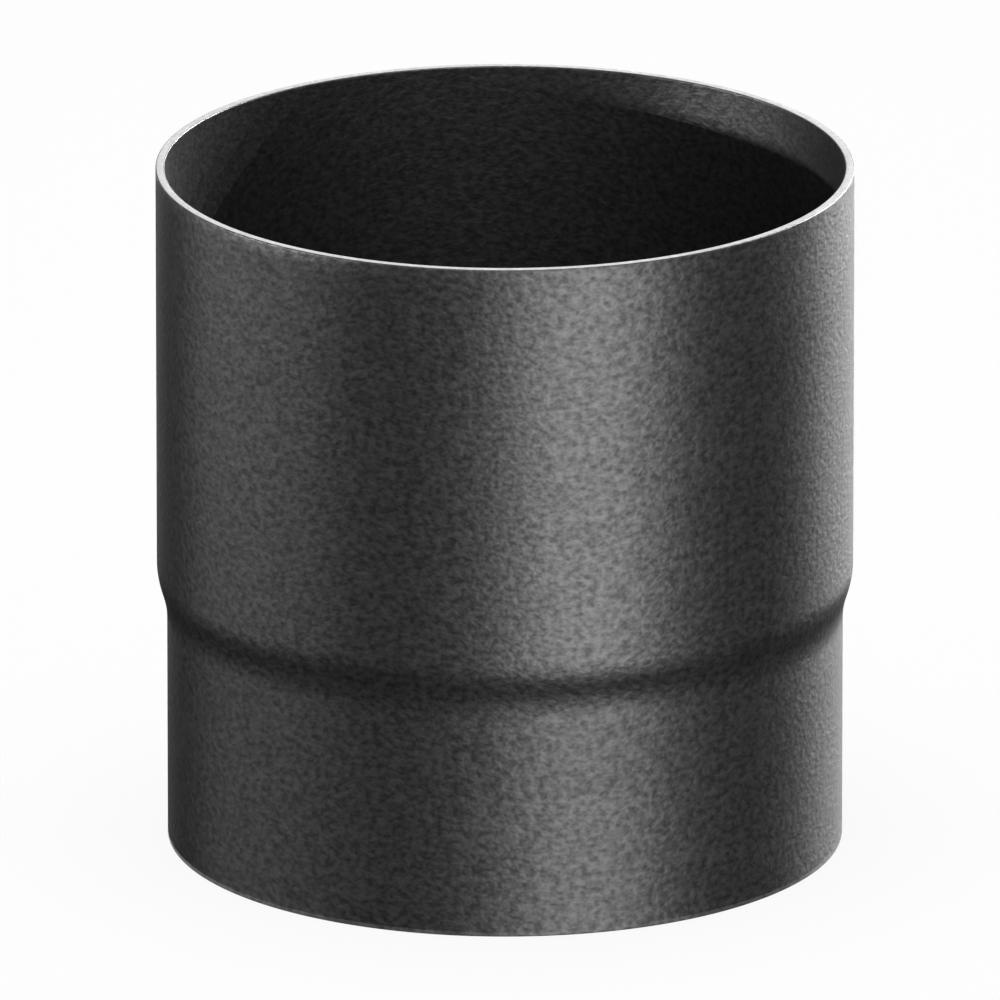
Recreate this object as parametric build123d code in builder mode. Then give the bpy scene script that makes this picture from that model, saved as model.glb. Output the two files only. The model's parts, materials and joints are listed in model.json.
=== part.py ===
"""A straight flue pipe: one length of rolled steel tube, swaged down at its lower end.

The upper end is the socket, whose bore takes the spigot of the next pipe. The lower end
is the spigot, which is swaged until it slides into such a bore. The sheet keeps one
thickness all the way, so inside and outside follow the same two bends.

Units are millimetres. The origin is at the middle of the spigot's end, and +Z runs up
along the pipe.
"""
from build123d import *
import math
import os

# Driving dimensions
bore_diameter = 150.0        # inside of the socket, the pipe's nominal size
wall = 2.0                   # thickness of the sheet
overall_length = 154.0       # from the spigot's end to the socket's rim
spigot_length = 53.3         # from the spigot's end to the lower corner of the shoulder
shoulder_length = 7.2        # height of the shoulder between its two corners
spigot_bend_share = 0.44     # share of the shoulder's slope that the hollow lower bend takes up
body_bend_share = 0.38       # share that the rounded upper bend takes up
slip_clearance = 0.25        # gap all round a spigot that stands in the next pipe's socket
edge_break = 0.25            # bevel filed on the cut edges at both ends

# Sizes worked out from them
bore_radius = bore_diameter / 2
body_radius = bore_radius + wall
spigot_radius = bore_radius - slip_clearance
shoulder_top = spigot_length + shoulder_length
shoulder_step = body_radius - spigot_radius
shoulder_angle = math.atan2(shoulder_step, shoulder_length)
shoulder_slope = math.hypot(shoulder_step, shoulder_length)
spigot_bend_radius = spigot_bend_share * shoulder_slope / math.tan(shoulder_angle / 2)
body_bend_radius = body_bend_share * shoulder_slope / math.tan(shoulder_angle / 2)

os.makedirs("parts", exist_ok=True)

# The pipe: its outer profile, thickened inwards by the wall and turned about the axis
with BuildPart() as flue_pipe:
    with BuildSketch(Plane.XZ):
        with BuildLine():
            outer_profile = FilletPolyline(
                (spigot_radius, 0),
                (spigot_radius, spigot_length),
                (body_radius, shoulder_top),
                (body_radius, overall_length),
                radius=(spigot_bend_radius, body_bend_radius),
            )
            offset(outer_profile, amount=wall, side=Side.LEFT)
        make_face()
    revolve(axis=Axis.Z)
    end_edges = flue_pipe.edges().filter_by(GeomType.CIRCLE).group_by(Axis.Z)
    chamfer(end_edges[0] + end_edges[-1], length=edge_break)

flue_pipe.part.label = "flue_pipe"
export_step(flue_pipe.part, "parts/flue_pipe.step")
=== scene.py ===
"""The looks of a straight flue pipe: satin black stove paint with a fine sprayed grain, inside and out,
and bare cut steel at both rims, on a plain white floor.

Everything is in metres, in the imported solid's own frame: the pipe stands on its spigot at the origin, and
+Z runs up its axis. Azimuths are in degrees round that axis: 0 is the photograph's side, and 90 its right.
"""
import json
import math

import bpy
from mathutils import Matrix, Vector


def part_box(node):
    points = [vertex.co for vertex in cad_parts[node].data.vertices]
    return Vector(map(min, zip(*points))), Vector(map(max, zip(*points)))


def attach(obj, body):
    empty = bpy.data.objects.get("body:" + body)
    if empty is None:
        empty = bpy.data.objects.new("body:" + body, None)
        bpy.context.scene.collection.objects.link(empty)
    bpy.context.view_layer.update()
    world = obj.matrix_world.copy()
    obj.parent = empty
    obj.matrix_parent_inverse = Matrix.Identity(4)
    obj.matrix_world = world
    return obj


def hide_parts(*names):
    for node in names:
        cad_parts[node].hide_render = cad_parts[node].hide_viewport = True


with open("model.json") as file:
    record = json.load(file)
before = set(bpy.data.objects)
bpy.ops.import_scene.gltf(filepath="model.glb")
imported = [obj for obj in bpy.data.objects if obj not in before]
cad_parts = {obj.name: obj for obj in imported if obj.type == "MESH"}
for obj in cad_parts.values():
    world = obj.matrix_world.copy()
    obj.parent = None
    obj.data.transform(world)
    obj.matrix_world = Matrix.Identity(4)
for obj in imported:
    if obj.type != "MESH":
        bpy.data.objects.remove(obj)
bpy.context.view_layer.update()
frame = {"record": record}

# Kinds of socket on the node groups
COLOUR = "NodeSocketColor"
VALUE = "NodeSocketFloat"

# Sizes of the pipe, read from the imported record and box
MM = 0.001
mounts = {mount["name"]: mount for mount in frame["record"]["mounts"]}
bore_radius = mounts["socket"]["dims"]["r_mm"] * MM
body_radius = mounts["clamp_band"]["dims"]["r_mm"] * MM
spigot_radius = mounts["spigot"]["dims"]["r_mm"] * MM
wall = body_radius - bore_radius
pipe_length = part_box("flue_pipe")[1].z

# Sizes of the swaged shoulder and of the cut edges, as in the solid
spigot_length = 53.3 * MM
shoulder_length = 7.2 * MM
spigot_bend_share = 0.44
body_bend_share = 0.38
edge_break = 0.25 * MM

# How finely the pipe is divided
columns = 240
bend_steps = 10
edge_steps = 4
ring_spacing = 6 * MM
edge_support = 0.35 * MM      # from each end of a straight stretch to the ring that holds its shading

# The stove paint
paint_flake = 0.8             # how metallic its flake makes it
outside_coat = {"dark": 0.036, "light": 0.094, "smooth": 0.4, "rough": 0.45}
inside_coat = {"dark": 0.036, "light": 0.079, "smooth": 0.4, "rough": 0.45}
spigot_painted_shade = 0.92            # painted shade: how dark the spigot's tone is made, as a share of the body's
spigot_dullness = 0.03        # roughness that the coat has more of there

# The grain in it: the scale and the detail of each noise, and how they are put together
grain_noises = {"speckle": (760, 0), "dust": (1560, 0), "cloud": (160, 2)}
grain_stretch = 1.3           # how much longer the grain is round the pipe than up it
dust_share = 0.6              # strength of the dust beside the speckle's
darkest_grain = 0.45          # where the two together give the dark tone
lightest_grain = 1.15         # and where they give the light one
cloud_share = 0.85            # the cloud's part in how the gloss varies
grain_relief = 0.065 * MM

# The bare steel of the cut ends
steel = {"dark": 0.45, "light": 0.75, "smooth": 0.25, "rough": 0.5}
file_marks = (900, 3)         # scale and detail of their noise

# Camera, fitted to the outline of the pipe in the photograph
camera_elevation = 17.81
camera_distance = 7.0
camera_aim = Vector((-1.1 * MM, 0, 76.73 * MM))
picture_width = 221.0 * MM
sensor_width = 36

# Studio: the floor, the light from all round, and one lamp above. The surroundings look as pale as the
# far floor, so that no horizon shows.
floor_size = 30
floor_white = 0.9
floor_colour = 0.95
ambient_strength = 0.4
surroundings_white = 0.94
top_lamp = {"height": 2.2, "size": 1.2, "level": 1.9}

# Panels: where each shines from, seen from the pipe, and the light that it brings there. The wall, seen
# from above, mirrors what lies below, so most of them are below the floor, which casts no shadow.
panel_distance = 20.0
front_panel = {"azimuth": 26.4, "spread": 40, "low": -25, "high": -5, "level": 2.25}
left_panel = {"azimuth": -90, "spread": 60, "low": -25, "high": -5, "level": 0.48}
right_panel = {"azimuth": 150, "spread": 56, "low": -13, "high": -7, "level": 1.85}
back_left_panel = {"azimuth": -168, "spread": 30, "low": -13, "high": -7, "level": 0.32}
high_front_panel = {"azimuth": 21, "spread": 28, "low": 20, "high": 60, "level": 2.3}

# Spots for the inside of the mouth, which shine just over its near rim and leave the outside alone: low
# ones from the left, which light a crescent below the far rim, and high ones from the right
spot_distance = 2.5
spot_cone = {"half_cone": 20, "overlap": 1.5 * MM, "radius": 2 * MM}
low_spot_azimuths = (-94, -87, -80, -73, -66)
low_spot = {"rise": 4.2, "level": 0.66}
high_spot_azimuths = (126, 134, 142, 150)
high_spot = {"rise": 20, "level": 2.9}

# Black cards, which only reflections show
card_lift = 1 * MM
card_distance = 2.0
card_step = 5
floor_card_reach = 8
floor_card_left = {"start": -115, "end": -60, "reach": 0.5}
back_card = {"start": -142, "end": -116, "low": 0, "high": 0.7}
left_card = {"start": -116, "end": -45, "low": 0.4, "high": 2.2}


def around(radius, azimuth, height):
    """The point at that radius and height, at an azimuth in degrees."""
    turn = math.radians(azimuth)
    return Vector((radius * math.sin(turn), -radius * math.cos(turn), height))


def steps(start, end, count):
    """count + 1 even values from start to end."""
    return [start + (end - start) * i / count for i in range(count + 1)]


def straight_run(radius, low, high):
    """Rings up a straight stretch of the pipe, with one close to each end to hold the shading."""
    inner_low = low + edge_support
    inner_high = high - edge_support
    count = max(1, round((inner_high - inner_low) / ring_spacing))
    heights = [low] + steps(inner_low, inner_high, count) + [high]
    return [(radius, height) for height in heights]


def sheet_side(depth):
    """Radius and height of the rings up one side of the sheet, at that depth below its outer side."""
    step = body_radius - spigot_radius
    tilt = math.atan2(step, shoulder_length)
    slope = math.hypot(step, shoulder_length)
    spigot_bend_radius = spigot_bend_share * slope / math.tan(tilt / 2)
    body_bend_radius = body_bend_share * slope / math.tan(tilt / 2)
    spigot_bend_low = spigot_length - spigot_bend_share * slope
    body_bend_high = spigot_length + shoulder_length + body_bend_share * slope
    rings = straight_run(spigot_radius - depth, edge_break, spigot_bend_low)
    for angle in steps(0, tilt, bend_steps)[1:]:
        swing = spigot_bend_radius + depth
        rings.append((spigot_radius + spigot_bend_radius - swing * math.cos(angle),
                      spigot_bend_low + swing * math.sin(angle)))
    for angle in steps(tilt, 0, bend_steps)[:-1]:
        swing = body_bend_radius - depth
        rings.append((body_radius - body_bend_radius + swing * math.cos(angle),
                      body_bend_high - swing * math.sin(angle)))
    return rings + straight_run(body_radius - depth, body_bend_high, pipe_length - edge_break)


def rounded_edge(radius, height, start):
    """Rings round one cut edge: a quarter circle about that centre, from the start angle on."""
    return [(radius + edge_break * math.cos(math.radians(angle)),
             height + edge_break * math.sin(math.radians(angle)))
            for angle in steps(start, start + 90, edge_steps)[1:-1]]


def cut_end(outer_radius, inner_radius, height, upwards):
    """Rings over one cut end, from its outer side to its inner side, or back for the lower end."""
    outer = outer_radius - edge_break
    inner = inner_radius + edge_break
    middle = height - edge_break if upwards else height + edge_break
    if upwards:
        return (rounded_edge(outer, middle, 0) + [(outer, height), (inner, height)]
                + rounded_edge(inner, middle, 90))
    return (rounded_edge(inner, middle, 180) + [(inner, height), (outer, height)]
            + rounded_edge(outer, middle, 270))


def make_pipe():
    """The pipe as one closed mesh of revolution, with a finish for each of its surfaces."""
    outside = sheet_side(0)
    inside = sheet_side(wall)[::-1]
    upper_end = cut_end(body_radius, bore_radius, pipe_length, True)
    lower_end = cut_end(spigot_radius, spigot_radius - wall, 0, False)
    rings = outside + upper_end + inside + lower_end
    finishes = {"outside": paint_outside(), "inside": paint_inside(), "bare": cut_steel()}
    rows = (["outside"] * (len(outside) - 1 + edge_steps) + ["bare"]
            + ["inside"] * (len(inside) - 1 + 2 * edge_steps) + ["bare"] + ["outside"] * edge_steps)
    points = [around(radius, column * 360 / columns, height)
              for radius, height in rings for column in range(columns)]
    faces = []
    for row in range(len(rings)):
        above = (row + 1) % len(rings)
        for column in range(columns):
            beside = (column + 1) % columns
            faces.append((row * columns + column, row * columns + beside,
                          above * columns + beside, above * columns + column))
    mesh = bpy.data.meshes.new("flue_pipe_shell")
    mesh.from_pydata(points, [], faces)
    for finish in finishes.values():
        mesh.materials.append(finish)
    order = list(finishes)
    for face in mesh.polygons:
        face.material_index = order.index(rows[face.index // columns])
        face.use_smooth = True
    mesh.update()
    return put_in_scene("flue_pipe_shell", mesh)


def put_in_scene(name, data):
    """A new object with that data, in the scene."""
    thing = bpy.data.objects.new(name, data)
    bpy.context.scene.collection.objects.link(thing)
    return thing


def grey(level):
    """A plain grey of that level, as a socket takes it."""
    return (level, level, level, 1)


def new_group(name, inputs, outputs):
    """An empty node group with those sockets, and the sockets at its two ends."""
    group = bpy.data.node_groups.new(name, "ShaderNodeTree")
    for socket, kind in inputs.items():
        group.interface.new_socket(socket, in_out="INPUT", socket_type=kind)
    for socket, kind in outputs.items():
        group.interface.new_socket(socket, in_out="OUTPUT", socket_type=kind)
    given = group.nodes.new("NodeGroupInput")
    made = group.nodes.new("NodeGroupOutput")
    return group, given.outputs, made.inputs


def noise_node(nodes, links, vector, scale, detail):
    """The output of a noise over that vector."""
    noise = nodes.new("ShaderNodeTexNoise")
    noise.inputs["Scale"].default_value = scale
    noise.inputs["Detail"].default_value = detail
    links.new(vector, noise.inputs["Vector"])
    return noise.outputs["Fac"]


def sprayed_grain():
    """Node group: the speckle that sprayed stove paint dries with, as a tone, a roughness and a relief."""
    group, given, made = new_group(
        "sprayed grain",
        {"Dark Tone": COLOUR, "Light Tone": COLOUR, "Smooth": VALUE, "Rough": VALUE},
        {"Tone": COLOUR, "Roughness": VALUE, "Relief": VALUE},
    )
    nodes, links = group.nodes, group.links
    place = nodes.new("ShaderNodeTexCoord")
    stretch = nodes.new("ShaderNodeMapping")
    stretch.inputs["Scale"].default_value = (1 / grain_stretch, 1 / grain_stretch, 1)
    links.new(place.outputs["Object"], stretch.inputs["Vector"])
    noise = {}
    for name, (scale, detail) in grain_noises.items():
        noise[name] = noise_node(nodes, links, stretch.outputs["Vector"], scale, detail)
    both = nodes.new("ShaderNodeMath")
    both.operation = "MULTIPLY_ADD"
    both.inputs[1].default_value = dust_share
    links.new(noise["dust"], both.inputs[0])
    links.new(noise["speckle"], both.inputs[2])
    spread = nodes.new("ShaderNodeMapRange")
    spread.inputs["From Min"].default_value = darkest_grain
    spread.inputs["From Max"].default_value = lightest_grain
    links.new(both.outputs["Value"], spread.inputs["Value"])
    tone = nodes.new("ShaderNodeMix")
    tone.data_type = "RGBA"
    links.new(spread.outputs["Result"], tone.inputs["Factor"])
    links.new(given["Dark Tone"], tone.inputs["A"])
    links.new(given["Light Tone"], tone.inputs["B"])
    links.new(tone.outputs["Result"], made["Tone"])
    uneven = nodes.new("ShaderNodeMix")
    uneven.inputs["Factor"].default_value = cloud_share
    links.new(spread.outputs["Result"], uneven.inputs["A"])
    links.new(noise["cloud"], uneven.inputs["B"])
    rough = nodes.new("ShaderNodeMix")
    links.new(uneven.outputs["Result"], rough.inputs["Factor"])
    links.new(given["Smooth"], rough.inputs["A"])
    links.new(given["Rough"], rough.inputs["B"])
    links.new(rough.outputs["Result"], made["Roughness"])
    links.new(both.outputs["Value"], made["Relief"])
    return group


def spigot_shade_and_dullness():
    """Node group: painted shade that makes the swaged sheet below the shoulder a little darker, and a
    duller gloss there.
    """
    group, given, made = new_group(
        "spigot painted shade and dullness",
        {"Tone": COLOUR, "Roughness": VALUE, "Spigot Painted Shade": COLOUR, "Spigot Dullness": VALUE},
        {"Tone": COLOUR, "Roughness": VALUE},
    )
    nodes, links = group.nodes, group.links
    place = nodes.new("ShaderNodeTexCoord")
    split = nodes.new("ShaderNodeSeparateXYZ")
    links.new(place.outputs["Object"], split.inputs["Vector"])
    below = nodes.new("ShaderNodeMapRange")
    below.interpolation_type = "SMOOTHSTEP"
    below.inputs["From Min"].default_value = spigot_length
    below.inputs["From Max"].default_value = spigot_length + shoulder_length
    below.inputs["To Min"].default_value = 1
    below.inputs["To Max"].default_value = 0
    links.new(split.outputs["Z"], below.inputs["Value"])
    tone = nodes.new("ShaderNodeMix")
    tone.data_type = "RGBA"
    tone.blend_type = "MULTIPLY"
    links.new(below.outputs["Result"], tone.inputs["Factor"])
    links.new(given["Tone"], tone.inputs["A"])
    links.new(given["Spigot Painted Shade"], tone.inputs["B"])
    links.new(tone.outputs["Result"], made["Tone"])
    dull = nodes.new("ShaderNodeMath")
    dull.operation = "MULTIPLY_ADD"
    links.new(below.outputs["Result"], dull.inputs[0])
    links.new(given["Spigot Dullness"], dull.inputs[1])
    links.new(given["Roughness"], dull.inputs[2])
    links.new(dull.outputs["Value"], made["Roughness"])
    return group


def finish_material(name):
    """A node material and its shader."""
    material = bpy.data.materials.new(name)
    material.use_nodes = True
    return material, material.node_tree.nodes["Principled BSDF"]


def painted(name, dark, light, smooth, rough):
    """Stove paint between two tones, with the sprayed grain in its colour, gloss and relief."""
    material, shader = finish_material(name)
    nodes, links = material.node_tree.nodes, material.node_tree.links
    grain = nodes.new("ShaderNodeGroup")
    grain.node_tree = grain_group
    grain.inputs["Dark Tone"].default_value = grey(dark)
    grain.inputs["Light Tone"].default_value = grey(light)
    grain.inputs["Smooth"].default_value = smooth
    grain.inputs["Rough"].default_value = rough
    # Below the shoulder this group darkens the paint's tone, which is painted shade, and dulls its gloss.
    coat = nodes.new("ShaderNodeGroup")
    coat.node_tree = spigot_shade_group
    coat.inputs["Spigot Painted Shade"].default_value = grey(spigot_painted_shade)
    coat.inputs["Spigot Dullness"].default_value = spigot_dullness
    links.new(grain.outputs["Tone"], coat.inputs["Tone"])
    links.new(grain.outputs["Roughness"], coat.inputs["Roughness"])
    bump = nodes.new("ShaderNodeBump")
    bump.inputs["Strength"].default_value = 1
    bump.inputs["Distance"].default_value = grain_relief
    links.new(grain.outputs["Relief"], bump.inputs["Height"])
    shader.inputs["Metallic"].default_value = paint_flake
    links.new(coat.outputs["Tone"], shader.inputs["Base Color"])
    links.new(coat.outputs["Roughness"], shader.inputs["Roughness"])
    links.new(bump.outputs["Normal"], shader.inputs["Normal"])
    return material


def paint_outside():
    """The coat on the outside."""
    return painted("stove_paint_outside", **outside_coat)


def paint_inside():
    """The slightly darker coat on the inside."""
    return painted("stove_paint_inside", **inside_coat)


def cut_steel():
    """Bare steel on the flat of both cut ends, with the marks of a file."""
    material, shader = finish_material("cut_steel")
    nodes, links = material.node_tree.nodes, material.node_tree.links
    shader.inputs["Metallic"].default_value = 1
    place = nodes.new("ShaderNodeTexCoord")
    marks = noise_node(nodes, links, place.outputs["Object"], *file_marks)
    tone = nodes.new("ShaderNodeMix")
    tone.data_type = "RGBA"
    tone.inputs["A"].default_value = grey(steel["dark"])
    tone.inputs["B"].default_value = grey(steel["light"])
    links.new(marks, tone.inputs["Factor"])
    links.new(tone.outputs["Result"], shader.inputs["Base Color"])
    rough = nodes.new("ShaderNodeMapRange")
    rough.inputs["To Min"].default_value = steel["smooth"]
    rough.inputs["To Max"].default_value = steel["rough"]
    links.new(marks, rough.inputs["Value"])
    links.new(rough.outputs["Result"], shader.inputs["Roughness"])
    return material


def background_seen(nodes, links):
    """A node output that is 1 for what the camera, a reflection or glass shows, and 0 for lighting."""
    path = nodes.new("ShaderNodeLightPath")
    seen = path.outputs["Is Camera Ray"]
    for kind in ("Is Glossy Ray", "Is Transmission Ray"):
        either = nodes.new("ShaderNodeMath")
        either.operation = "MAXIMUM"
        links.new(seen, either.inputs[0])
        links.new(path.outputs[kind], either.inputs[1])
        seen = either.outputs["Value"]
    return seen


def white_surroundings():
    """The world: nearly white where it is seen, and an even soft light otherwise."""
    world = bpy.data.worlds.new("white_surroundings")
    bpy.context.scene.world = world
    world.use_nodes = True
    nodes, links = world.node_tree.nodes, world.node_tree.links
    nodes.clear()
    light = nodes.new("ShaderNodeBackground")
    light.inputs["Strength"].default_value = ambient_strength
    white = nodes.new("ShaderNodeBackground")
    white.inputs["Strength"].default_value = surroundings_white
    for background in (light, white):
        background.inputs["Color"].default_value = grey(1)
    either = nodes.new("ShaderNodeMixShader")
    links.new(background_seen(nodes, links), either.inputs["Fac"])
    links.new(light.outputs["Background"], either.inputs[1])
    links.new(white.outputs["Background"], either.inputs[2])
    output = nodes.new("ShaderNodeOutputWorld")
    links.new(either.outputs["Shader"], output.inputs["Surface"])
    world.cycles.sampling_method = "NONE"


def stage_material(name):
    """An empty node material for the studio, with its output."""
    material = bpy.data.materials.new(name)
    material.use_nodes = True
    material.node_tree.nodes.clear()
    output = material.node_tree.nodes.new("ShaderNodeOutputMaterial")
    return material, material.node_tree.nodes, material.node_tree.links, output.inputs["Surface"]


def make_floor():
    """A pale floor that is nearly white where it is seen, and still takes the pipe's soft shadow."""
    material, nodes, links, surface = stage_material("white_floor")
    lit = nodes.new("ShaderNodeBsdfDiffuse")
    lit.inputs["Color"].default_value = grey(floor_colour)
    white = nodes.new("ShaderNodeEmission")
    share = nodes.new("ShaderNodeMath")
    share.operation = "MULTIPLY"
    share.inputs[1].default_value = floor_white
    links.new(background_seen(nodes, links), share.inputs[0])
    either = nodes.new("ShaderNodeMixShader")
    links.new(share.outputs["Value"], either.inputs["Fac"])
    links.new(lit.outputs["BSDF"], either.inputs[1])
    links.new(white.outputs["Emission"], either.inputs[2])
    links.new(either.outputs["Shader"], surface)
    material.cycles.emission_sampling = "NONE"
    half = floor_size / 2
    mesh = bpy.data.meshes.new("floor")
    corners = [(-half, -half, 0), (half, -half, 0), (half, half, 0), (-half, half, 0)]
    mesh.from_pydata(corners, [], [(0, 1, 2, 3)])
    mesh.materials.append(material)
    floor = put_in_scene("floor", mesh)
    floor.visible_shadow = False


def black_card(name, points, faces):
    """A black card of that shape, which only reflections show."""
    material, nodes, links, surface = stage_material(name)
    matt = nodes.new("ShaderNodeBsdfDiffuse")
    matt.inputs["Color"].default_value = grey(0)
    links.new(matt.outputs["BSDF"], surface)
    mesh = bpy.data.meshes.new(name)
    mesh.from_pydata(points, [], faces)
    mesh.materials.append(material)
    card = put_in_scene(name, mesh)
    card.visible_camera = False
    card.visible_diffuse = False
    card.visible_transmission = False
    card.visible_shadow = False


def curved_card(name, start, end, low, high):
    """A card that stands round the pipe, between two azimuths and two heights."""
    count = round((end - start) / card_step)
    points = []
    for azimuth in steps(start, end, count):
        points += [around(card_distance, azimuth, low), around(card_distance, azimuth, high)]
    black_card(name, points, [(2 * i, 2 * i + 1, 2 * i + 3, 2 * i + 2) for i in range(count)])


def floor_card():
    """A card that lies on the floor all round the pipe, and reaches less far on the left."""
    count = round(360 / card_step)
    points = [Vector((0, 0, card_lift))]
    for i in range(count):
        azimuth = i * card_step - 180
        left = floor_card_left["start"] <= azimuth <= floor_card_left["end"]
        reach = floor_card_left["reach"] if left else floor_card_reach
        points.append(around(reach, azimuth, card_lift))
    black_card("floor_card", points, [(0, i + 1, (i + 1) % count + 1) for i in range(count)])


def area_lamp(name, place, aim, width, height, level):
    """A rectangular lamp that brings that light to the point it is aimed at."""
    lamp_data = bpy.data.lights.new(name, "AREA")
    lamp_data.shape = "RECTANGLE"
    lamp_data.size = width
    lamp_data.size_y = height
    away = place - aim
    lamp_data.energy = level * math.pi * away.length_squared
    lamp = put_in_scene(name, lamp_data)
    lamp.location = place
    lamp.rotation_euler = away.to_track_quat("Z", "Y").to_euler()
    lamp.visible_camera = False
    return lamp


def panel(name, seen_from, azimuth, spread, low, high, level):
    """A panel that shows only as a reflection, between two elevations as seen from a height on the axis."""
    elevation = math.radians((low + high) / 2)
    aim = Vector((0, 0, seen_from))
    away = around(panel_distance * math.cos(elevation), azimuth, panel_distance * math.sin(elevation))
    width = 2 * panel_distance * math.tan(math.radians(spread) / 2)
    height = 2 * panel_distance * math.tan(math.radians(high - low) / 2)
    lamp = area_lamp(name, aim + away, aim, width, height, level)
    lamp.visible_diffuse = False
    lamp.data.cycles.use_multiple_importance_sampling = False


def shine_into_mouth(name, azimuth, rise, level, half_cone, overlap, radius):
    """A spot that looks down into the mouth, with the lower edge of its cone on the near rim."""
    lamp_data = bpy.data.lights.new(name, "SPOT")
    lamp_data.spot_size = math.radians(2 * half_cone)
    lamp_data.spot_blend = 0
    lamp_data.shadow_soft_size = radius
    lamp_data.energy = level * 4 * math.pi * spot_distance ** 2
    lamp_data.cycles.use_multiple_importance_sampling = False
    place = around(spot_distance, azimuth, pipe_length + spot_distance * math.tan(math.radians(rise)))
    drop = place.z - (pipe_length - overlap)
    tilt = math.radians(half_cone) - math.atan2(drop, spot_distance - body_radius)
    axis = Vector((0, 0, math.sin(tilt))) - around(math.cos(tilt), azimuth, 0)
    lamp = put_in_scene(name, lamp_data)
    lamp.location = place
    lamp.rotation_euler = axis.to_track_quat("-Z", "Y").to_euler()
    lamp.visible_camera = False
    lamp.visible_diffuse = False


def light_studio():
    """Panels for the bands of light on the pipe, and black cards for the dark between them."""
    middle = pipe_length / 2
    panel("front_panel", middle, **front_panel)
    panel("left_panel", middle, **left_panel)
    panel("right_panel", middle, **right_panel)
    panel("back_left_panel", middle, **back_left_panel)
    panel("high_front_panel", pipe_length, **high_front_panel)
    for azimuth in low_spot_azimuths:
        shine_into_mouth("low_spot", azimuth, **low_spot, **spot_cone)
    for azimuth in high_spot_azimuths:
        shine_into_mouth("high_spot", azimuth, **high_spot, **spot_cone)
    place = Vector((0, 0, top_lamp["height"]))
    lamp = area_lamp("top_lamp", place, Vector(), top_lamp["size"], top_lamp["size"], top_lamp["level"])
    lamp.visible_glossy = False
    floor_card()
    curved_card("back_card", **back_card)
    curved_card("left_card", **left_card)


def set_camera():
    """A long lens far off, at the photograph's angle."""
    lens = bpy.data.cameras.new("camera")
    lens.sensor_width = sensor_width
    lens.lens = sensor_width * camera_distance / picture_width
    camera = put_in_scene("camera", lens)
    tilt = math.radians(camera_elevation)
    back = Vector((0, -math.cos(tilt), math.sin(tilt)))
    camera.location = camera_aim + back * camera_distance
    camera.rotation_euler = (-back).to_track_quat("-Z", "Y").to_euler()
    bpy.context.scene.camera = camera


bpy.context.scene.view_settings.view_transform = "Standard"
grain_group = sprayed_grain()
spigot_shade_group = spigot_shade_and_dullness()
pipe = make_pipe()
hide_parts("flue_pipe")
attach(pipe, "root")
white_surroundings()
make_floor()
light_studio()
set_camera()
